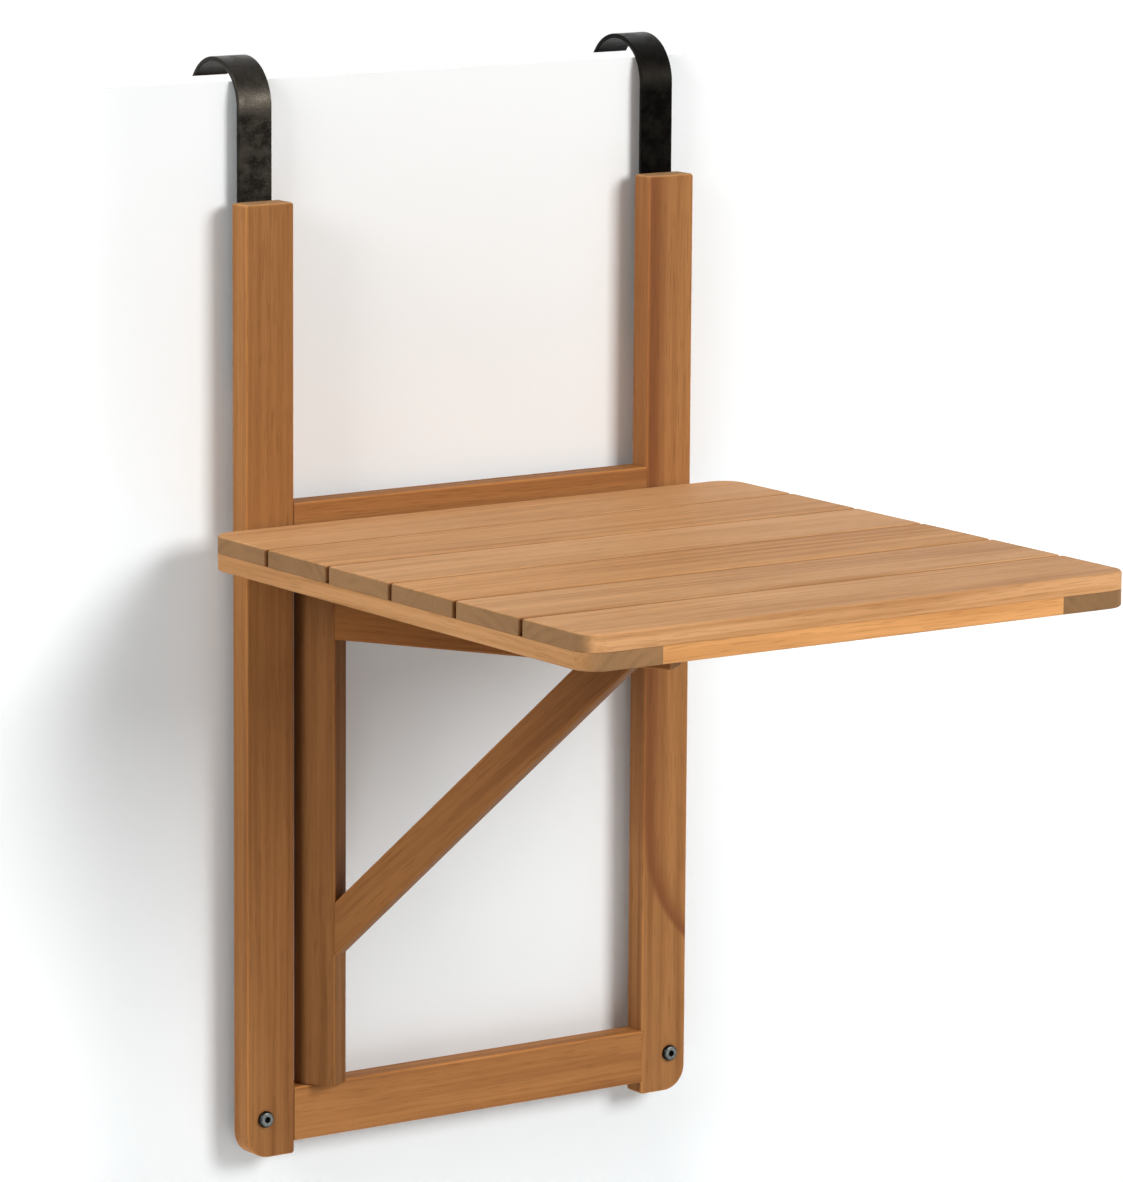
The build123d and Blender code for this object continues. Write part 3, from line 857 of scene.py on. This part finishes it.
# Where the panel turns plain white on each side of the table, in metres, and how much painted light it gives
# off there for the camera only
LEFT_FADE = (-0.34, -0.23)
LEFT_WHITE = 0.22
RIGHT_FADE = (0.16, 0.26)
RIGHT_WHITE = 0.16

# Places and sizes of the softboxes in metres
OVERHEAD_PLACE = (0.35, -0.8, 2.0)
OVERHEAD_SIZE = 1.6
KEY_PLACE = (1.07, -2.77, 0.78)
FILL_PLACE = (-2.4, -0.5, 0.8)
SIDE_SIZE = 1.2


def backdrop_material():
    """White paint with a painted glow that grows away from the table, seen from the front only so that the
    rear stays in view.
    """
    material, tree = empty_material("Backdrop white")
    seen = seen_ray(tree)
    colour = mix(tree, seen, BACKDROP_BOUNCE, BACKDROP_SEEN)
    paint = add(tree, "ShaderNodeBsdfDiffuse", Color=colour)
    place = tree.nodes.new("ShaderNodeTexCoord").outputs["Object"]
    across = add(tree, "ShaderNodeSeparateXYZ", Vector=place).outputs["X"]
    # Painted light: the panel glows more further from the table, seen only by the camera
    left = ramp(tree, across, *LEFT_FADE, LEFT_WHITE, 0.0)
    right = ramp(tree, across, *RIGHT_FADE, 0.0, RIGHT_WHITE)
    glow_share = calc(tree, "ADD", left, right)
    glow = add(tree, "ShaderNodeEmission", Strength=calc(tree, "MULTIPLY", seen, glow_share))
    both = tree.nodes.new("ShaderNodeAddShader")
    tree.links.new(paint.outputs["BSDF"], both.inputs[0])
    tree.links.new(glow.outputs["Emission"], both.inputs[1])
    show_front_only(tree, both.outputs["Shader"])
    return material


def plain_white():
    """The same white as the surround, for the strip behind the panel's front edge; lights nothing."""
    material, tree = empty_material("Backdrop plain")
    glow = add(tree, "ShaderNodeEmission", Color=WHITE, Strength=seen_ray(tree))
    show_front_only(tree, glow.outputs["Emission"])
    return material


def show_front_only(tree, surface):
    """Let a surface be seen from its front side only."""
    clear = tree.nodes.new("ShaderNodeBsdfTransparent")
    side = tree.nodes.new("ShaderNodeNewGeometry")
    both = tree.nodes.new("ShaderNodeMixShader")
    tree.links.new(side.outputs["Backfacing"], both.inputs["Fac"])
    tree.links.new(surface, both.inputs[1])
    tree.links.new(clear.outputs["BSDF"], both.inputs[2])
    output = tree.nodes.new("ShaderNodeOutputMaterial")
    tree.links.new(both.outputs["Shader"], output.inputs["Surface"])


def seen_ray(tree):
    """One where a ray shows the surface to the camera, straight or by a mirror or glass."""
    ray = tree.nodes.new("ShaderNodeLightPath")
    seen = calc(tree, "MAXIMUM", ray.outputs["Is Camera Ray"], ray.outputs["Is Glossy Ray"])
    return calc(tree, "MAXIMUM", seen, ray.outputs["Is Transmission Ray"])


def add_plane(name, corners, material):
    """A flat stage piece whose front is on the side from which its corners run anticlockwise."""
    mesh = bpy.data.meshes.new(name)
    mesh.from_pydata(corners, [], [(0, 1, 2, 3)])
    mesh.materials.append(material)
    plane = bpy.data.objects.new(name, mesh)
    bpy.context.scene.collection.objects.link(plane)


def upright_corners(half, depth, low, high):
    """Corners of an upright plane that faces forward."""
    return [(-half, depth, low), (half, depth, low), (half, depth, high), (-half, depth, high)]


def build_backdrop(stage):
    """The railing panel's front, the far side of its top, and the floor."""
    paint = backdrop_material()
    half = stage.backdrop_half
    floor = -stage.floor_drop
    top = stage.panel_top
    near = -stage.panel_half_thickness
    far = stage.panel_half_thickness
    level_corners = [(-half, -half, floor), (half, -half, floor), (half, half, floor), (-half, half, floor)]
    add_plane("panel_front", upright_corners(half, near, floor, top), paint)
    add_plane("panel_rear", upright_corners(half, far, floor, top), plain_white())
    add_plane("floor", level_corners, paint)


def add_softbox(name, place, target, size, power):
    """A square area lamp aimed at a point."""
    data = bpy.data.lights.new(name, "AREA")
    data.shape = "RECTANGLE"
    data.size = size
    data.size_y = size
    data.energy = power
    lamp = bpy.data.objects.new(name, data)
    lamp.location = place
    aim = Vector(target) - Vector(place)
    lamp.rotation_euler = aim.to_track_quat("-Z", "Y").to_euler()
    bpy.context.scene.collection.objects.link(lamp)


def light_stage(stage):
    """Softboxes above, in front and on the left, and a white surround."""
    low, high = CAD_BOX
    target = (low + high) / 2
    add_softbox("Overhead softbox", OVERHEAD_PLACE, target, OVERHEAD_SIZE, stage.overhead_power)
    add_softbox("Key softbox", KEY_PLACE, target, SIDE_SIZE, stage.key_power)
    add_softbox("Fill softbox", FILL_PLACE, target, SIDE_SIZE, stage.fill_power)
    world = bpy.data.worlds.new("White surround")
    bpy.context.scene.world = world
    world.use_nodes = True
    tree = world.node_tree
    tree.nodes.clear()
    strength = calc(tree, "MULTIPLY_ADD", seen_ray(tree), 1.0 - stage.ambient, stage.ambient)
    light = add(tree, "ShaderNodeBackground", Color=WHITE, Strength=strength)
    output = tree.nodes.new("ShaderNodeOutputWorld")
    tree.links.new(light.outputs["Background"], output.inputs["Surface"])


# Operators, one for each group of like pieces

class BALCONY_OT_frame_wood(bpy.types.Operator):
    """Oil the stiles and rails"""

    bl_idname = "balcony.frame_wood"
    bl_label = "Frame wood"

    def execute(self, context):
        wood = context.scene.balcony_wood
        dress_boards(FRAME_BOARDS, wood.frame_light, wood.frame_dark, wood.frame_edges)
        return {"FINISHED"}


class BALCONY_OT_top_wood(bpy.types.Operator):
    """Oil the slats, battens and front rail"""

    bl_idname = "balcony.top_wood"
    bl_label = "Tabletop wood"

    def execute(self, context):
        wood = context.scene.balcony_wood
        dress_boards(TOP_BOARDS, wood.top_light, wood.top_dark, wood.top_edges)
        return {"FINISHED"}


class BALCONY_OT_bracket_wood(bpy.types.Operator):
    """Oil the swinging bracket and its dowels"""

    bl_idname = "balcony.bracket_wood"
    bl_label = "Bracket wood"

    def execute(self, context):
        wood = context.scene.balcony_wood
        dress_boards(bracket_boards(), wood.frame_light, wood.frame_dark, wood.frame_edges)
        return {"FINISHED"}


class BALCONY_OT_strap_hooks(bpy.types.Operator):
    """Coat the strap hooks black"""

    bl_idname = "balcony.strap_hooks"
    bl_label = "Strap hooks"

    def execute(self, context):
        steel = context.scene.balcony_steel
        # Each hook's tone paints its reflection darker or paler
        for side, tone in HOOK_REFLECTION_TONES.items():
            base = [tone * channel for channel in steel.strap]
            bloom = [tone * channel for channel in steel.bloom]
            # Each coat gets a painted highlight at the bend of its strap
            coat = metal_material(
                f"Black strap {side}", base, bloom,
                cloud_scale=95.0, smoothest=0.33, metallic=1.0, depth=0.0002, highlight=bend_highlight,
            )
            give(f"{side}_hook", coat)
        return {"FINISHED"}


class BALCONY_OT_screws(bpy.types.Operator):
    """Stand plated screws in the hooks, battens, front rail and hinges"""

    bl_idname = "balcony.screws"
    bl_label = "Screws"

    def execute(self, context):
        plate = plated_steel()
        for seed, node_name in enumerate(BATTEN_SCREWS):
            places = slat_screw_places(node_name)
            stand_screws(node_name, "tabletop", places, UP, SLAT_SCREW, plate, seed)
        rows = [("front_rail_screws", "tabletop", X_AXIS, 3, SLAT_SCREW, UP)]
        for side in SIDES:
            rows.append((f"{side}_table_leaf_screws", "tabletop", X_AXIS, 2, LEAF_SCREW, UP))
            rows.append((f"{side}_stile_leaf_screws", "frame", X_AXIS, 2, LEAF_SCREW, BACKWARD))
            rows.append((f"{side}_hook_screws", "frame", Z_AXIS, 3, HOOK_SCREW, FORWARD))
        for seed, row in enumerate(rows, start=ROW_SEED):
            node_name, body, axis, count, sizes, direction = row
            places = spaced_heads(node_name, axis, count, sizes["Head Radius"], direction)
            stand_screws(node_name, body, places, direction, sizes, plate, seed)
        return {"FINISHED"}


class BALCONY_OT_fixings(bpy.types.Operator):
    """Finish the hinges, pivots, washers, foot bolts and bumpers"""

    bl_idname = "balcony.fixings"
    bl_label = "Fixings"

    def execute(self, context):
        steel = context.scene.balcony_steel
        plate = plated_steel()
        tarnish = [TARNISH * channel for channel in steel.bolt]
        rubber = metal_material(
            "Bumper rubber", (0.02, 0.02, 0.02), (0.045, 0.045, 0.045),
            cloud_scale=500.0, smoothest=0.62, metallic=0.0, depth=0.0001,
        )
        nylon = metal_material(
            "Washer nylon", (0.78, 0.76, 0.70), (0.70, 0.67, 0.60),
            cloud_scale=300.0, smoothest=0.45, metallic=0.0, depth=0.0001,
        )
        for side in SIDES:
            for part in ("stile_leaf", "table_leaf", "hinge_pin"):
                give(f"{side}_{part}", plate)
            # Painted shade in each bolt's socket and round its rim
            shadow = bolt_shadow(middle_of(f"{side}_foot_bolt"))
            bolt = metal_material(
                f"Bolt {side}", steel.bolt, tarnish,
                cloud_scale=420.0, smoothest=0.26, metallic=1.0, depth=0.00005, shadow=shadow,
            )
            give(f"{side}_foot_bolt", bolt)
            give(f"{side}_bumper", rubber)
        for level in ("upper", "lower"):
            give(f"{level}_pivot_pin", plate)
            give(f"{level}_washer", nylon)
        return {"FINISHED"}


class BALCONY_OT_stage(bpy.types.Operator):
    """Set up the camera, the lamps, the pale railing panel and the floor"""

    bl_idname = "balcony.stage"
    bl_label = "Stage"

    def execute(self, context):
        stage = context.scene.balcony_stage
        place_camera(stage)
        build_backdrop(stage)
        light_stage(stage)
        context.scene.view_settings.view_transform = "Standard"
        return {"FINISHED"}


class BALCONY_PT_panel(bpy.types.Panel):
    """Lists the steps that dress the table"""

    bl_idname = "BALCONY_PT_panel"
    bl_label = "Balcony table"
    bl_space_type = "VIEW_3D"
    bl_region_type = "UI"
    bl_category = "Balcony table"

    def draw(self, context):
        scene = context.scene
        for settings in (scene.balcony_wood, scene.balcony_steel, scene.balcony_stage):
            box = self.layout.box()
            for name in settings.__annotations__:
                box.prop(settings, name)
        for operator in OPERATORS:
            self.layout.operator(operator.bl_idname)


SETTINGS = (WoodSettings, SteelSettings, StageSettings)
OPERATORS = (
    BALCONY_OT_frame_wood,
    BALCONY_OT_top_wood,
    BALCONY_OT_bracket_wood,
    BALCONY_OT_strap_hooks,
    BALCONY_OT_screws,
    BALCONY_OT_fixings,
    BALCONY_OT_stage,
)


def register():
    for item in (*SETTINGS, *OPERATORS, BALCONY_PT_panel):
        bpy.utils.register_class(item)
    bpy.types.Scene.balcony_wood = PointerProperty(type=WoodSettings)
    bpy.types.Scene.balcony_steel = PointerProperty(type=SteelSettings)
    bpy.types.Scene.balcony_stage = PointerProperty(type=StageSettings)


def unregister():
    del bpy.types.Scene.balcony_stage
    del bpy.types.Scene.balcony_steel
    del bpy.types.Scene.balcony_wood
    for item in reversed((*SETTINGS, *OPERATORS, BALCONY_PT_panel)):
        bpy.utils.unregister_class(item)


def main():
    register()
    bpy.ops.balcony.frame_wood()
    bpy.ops.balcony.top_wood()
    bpy.ops.balcony.bracket_wood()
    bpy.ops.balcony.strap_hooks()
    bpy.ops.balcony.screws()
    bpy.ops.balcony.fixings()
    bpy.ops.balcony.stage()


if __name__ == "__main__":
    main()
